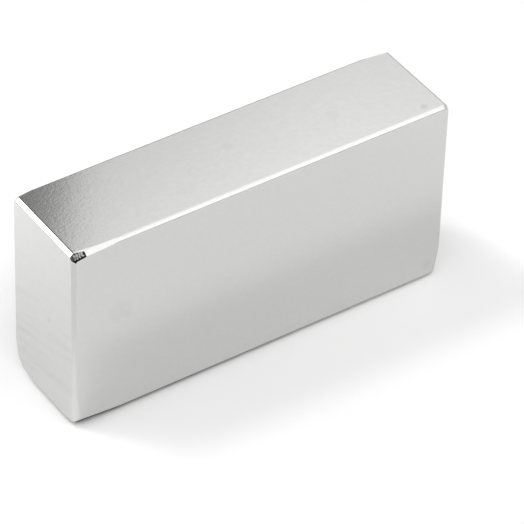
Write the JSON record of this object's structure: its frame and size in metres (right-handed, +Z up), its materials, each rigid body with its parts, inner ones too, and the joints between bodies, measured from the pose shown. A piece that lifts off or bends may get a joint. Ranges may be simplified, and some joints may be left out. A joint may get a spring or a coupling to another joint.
{
  "type": "block magnet",
  "caption": "Rectangular plated block magnet with flat-chamfered edges, standing on a long narrow side.",
  "frame": {"origin": "middle of the long narrow side that the block stands on", "axes": "+X along the length, +Y through the thickness from the front pole face to the back one, +Z up"},
  "size_m": [0.0508, 0.0126, 0.0254],
  "materials": {
    "nickel_plating": "bright nickel plating over a ground sintered block, softly mirror-like, with a faint orange-peel grain, chipped to the dark sintered metal at one corner"
  },
  "bodies": {
    "root": {"magnet_block": "nickel_plating"}
  },
  "joints": []
}
